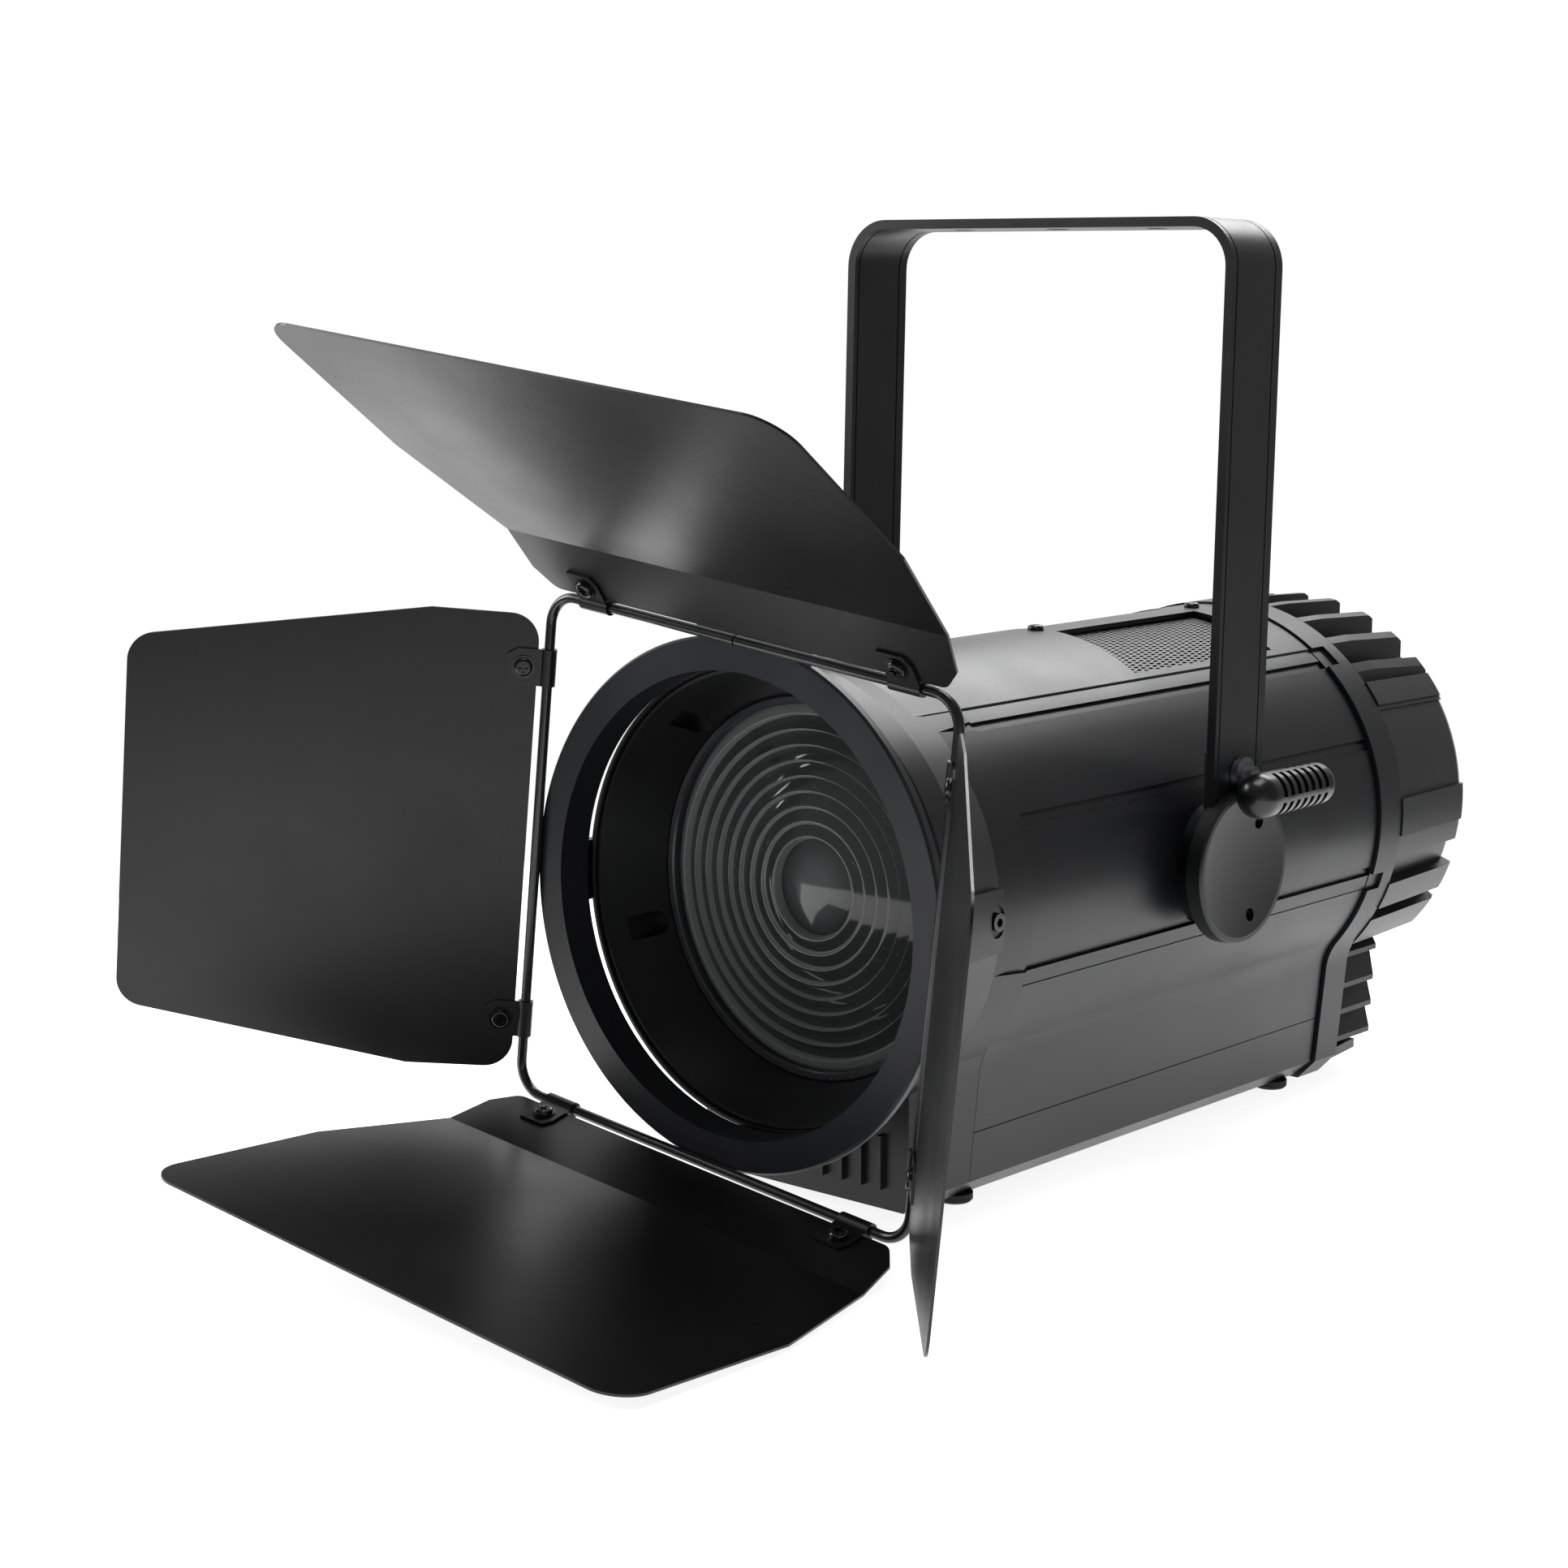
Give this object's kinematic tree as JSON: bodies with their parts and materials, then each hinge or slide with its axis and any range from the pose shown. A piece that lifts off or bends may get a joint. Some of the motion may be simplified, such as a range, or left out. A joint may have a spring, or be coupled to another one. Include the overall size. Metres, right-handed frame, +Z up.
{
  "type": "fresnel spotlight",
  "caption": "Studio fresnel spotlight with rotating barn doors, tilting yoke, clamp lever, vented housing, finned rear and an internal light engine that slides to focus.",
  "frame": {"origin": "centre of the accessory seat, on the optical axis at the rear face plane of the barn-door ring", "axes": "-Y along the beam, +Z up through the yoke, +X to the side with the tilt lever"},
  "size_m": [0.5334, 0.7132, 0.467],
  "materials": {
    "baffle_coat": "matte black",
    "black_screw": "glossy black oxide",
    "board_resin": "solder resist",
    "body_coat": "fine satin black powder coat",
    "bracket_coat": "satin black",
    "brass_bush": "turned",
    "button_rubber": "matte",
    "cap_cast": "sand grained black",
    "clip_coat": "satin black",
    "fan_plastic": "moulded",
    "fin_cast": "black coated casting",
    "focus_plastic": "fine grain",
    "foot_rubber": "matte",
    "frame_cast": "black coated casting",
    "front_coat": "fine satin black powder coat",
    "ground_rod": "ground",
    "hub_alloy": "black anodised",
    "knob_plastic": "fine grain",
    "leaf_coat": "satin black powder coat",
    "led_face": "phosphor",
    "lens_glass": "clear moulded glass",
    "lens_ring_coat": "satin black with a bright edge",
    "lever_plastic": "satin",
    "lower_cast": "black coated casting",
    "mesh_coat": "matte black perforated sheet",
    "mirror_metal": "polished",
    "pan_screw": "black oxide",
    "panel_coat": "fine black",
    "psu_steel": "folded sheet",
    "raw_alloy": "extruded",
    "raw_plate": "mill finish",
    "ring_coat": "satin black powder coat",
    "rocker_plastic": "satin",
    "seal_rubber": "matte",
    "socket_metal": "nickel plated",
    "socket_plastic": "moulded",
    "top_coat": "satin black powder coat with fine dust",
    "washer_pad": "fibre",
    "window_glass": "polished",
    "wire_coat": "glossy black paint",
    "yoke_coat": "satin black powder coat",
    "zinc_steel": "zinc plated"
  },
  "bodies": {
    "base": {"accessory_brackets": "bracket_coat", "base_tray": "body_coat", "bracket_screws": "black_screw", "control_board": "board_resin", "data_sockets": "socket_metal", "display_window": "window_glass", "feet": "foot_rubber", "friction_washers": "washer_pad", "front_cover": "front_coat", "guide_rods": "ground_rod", "lens": "lens_glass", "lens_baffle": "baffle_coat", "lens_ring": "lens_ring_coat", "lens_seal": "seal_rubber", "lower_rear_cover": "lower_cast", "panel_screws": "black_screw", "pivot_bolts": "zinc_steel", "pivot_hubs": "hub_alloy", "power_socket": "socket_plastic", "power_supply": "psu_steel", "rail_plates": "raw_plate", "rear_frame": "frame_cast", "rear_housing": "fin_cast", "rear_panel": "panel_coat", "side_casings": "body_coat", "top_cover": "top_coat", "top_screws": "pan_screw", "vent_mesh": "mesh_coat"},
    "yoke": {"yoke": "yoke_coat", "pivot_caps": "cap_cast", "cap_screws": "black_screw", "brake_shoe": "washer_pad"},
    "tilt_lever": {"tilt_lever": "lever_plastic", "lever_stud": "zinc_steel"},
    "door_ring": {"barndoor_ring": "ring_coat", "barndoor_frame": "wire_coat"},
    "focus_screw": {"focus_knob": "focus_plastic", "lead_screw": "ground_rod"},
    "carriage": {"carriage_plate": "raw_plate", "carriage_bushes": "brass_bush", "led_board": "led_face", "led_reflector": "mirror_metal", "led_heatsink": "raw_alloy", "fan_frame": "fan_plastic"},
    "fan_rotor": {"fan_rotor": "fan_plastic"},
    "dimmer_knob": {"dimmer_knob": "knob_plastic"},
    "menu_button": {"menu_button": "button_rubber"},
    "power_rocker": {"power_rocker": "rocker_plastic"},
    "leaf_top": {"leaf_top": "leaf_coat", "clips_top": "clip_coat", "screws_top": "black_screw"},
    "leaf_bottom": {"leaf_bottom": "leaf_coat", "clips_bottom": "clip_coat", "screws_bottom": "black_screw"},
    "leaf_left": {"leaf_left": "leaf_coat", "clips_left": "clip_coat", "screws_left": "black_screw"},
    "leaf_right": {"leaf_right": "leaf_coat", "clips_right": "clip_coat", "screws_right": "black_screw"}
  },
  "joints": [
    {"name": "yoke_tilt", "type": "hinge", "parent": "base", "child": "yoke", "pos_m": [0, 0.236, 0], "axis": [1, 0, 0], "range_deg": [-135, 40]},
    {"name": "lever_turn", "type": "hinge", "parent": "yoke", "child": "tilt_lever", "pos_m": [0.12, 0.2382, 0.0464], "axis": [1, 0, 0], "range_deg": [-90, 90]},
    {"name": "door_turn", "type": "hinge", "parent": "base", "child": "door_ring", "pos_m": [0, 0, 0], "axis": [0, -1, 0], "continuous": true},
    {"name": "leaf_top_hinge", "type": "hinge", "parent": "door_ring", "child": "leaf_top", "pos_m": [0.01404, -0.005, 0.12421], "axis": [0.9937, 0, -0.1123], "range_deg": [-53, 52]},
    {"name": "leaf_bottom_hinge", "type": "hinge", "parent": "door_ring", "child": "leaf_bottom", "pos_m": [-0.01404, -0.005, -0.12421], "axis": [-0.9937, 0, 0.1123], "range_deg": [-90, 15]},
    {"name": "leaf_left_hinge", "type": "hinge", "parent": "door_ring", "child": "leaf_left", "pos_m": [-0.12421, -0.005, 0.01404], "axis": [0.1123, 0, 0.9937], "range_deg": [-61, 24]},
    {"name": "leaf_right_hinge", "type": "hinge", "parent": "door_ring", "child": "leaf_right", "pos_m": [0.12421, -0.005, -0.01404], "axis": [-0.1123, 0, -0.9937], "range_deg": [-64.4, 20.6]},
    {"name": "carriage_slide", "type": "slide", "parent": "base", "child": "carriage", "axis": [0, 1, 0], "range_m": [-0.034, 0.04]},
    {"name": "focus_turn", "type": "hinge", "parent": "base", "child": "focus_screw", "pos_m": [0, 0.49, -0.064], "axis": [0, 1, 0], "range_deg": [-1260, 1480]},
    {"name": "fan_spin", "type": "hinge", "parent": "carriage", "child": "fan_rotor", "pos_m": [0, 0.208, 0.002], "axis": [0, 1, 0], "continuous": true},
    {"name": "dimmer_turn", "type": "hinge", "parent": "base", "child": "dimmer_knob", "pos_m": [-0.044, 0.49, -0.006], "axis": [0, 1, 0], "continuous": true},
    {"name": "menu_press", "type": "slide", "parent": "base", "child": "menu_button", "axis": [0, -1, 0], "range_m": [0, 0.0015], "stiffness_N_per_m": 600, "springref_m": -0.001},
    {"name": "rocker_tip", "type": "hinge", "parent": "base", "child": "power_rocker", "pos_m": [0, 0.4502, -0.112], "axis": [1, 0, 0], "range_deg": [0, 12]}
  ],
  "couplings": [
    {"joint": "focus_turn", "follows": "carriage_slide", "rad_per_m": 628.32}
  ]
}
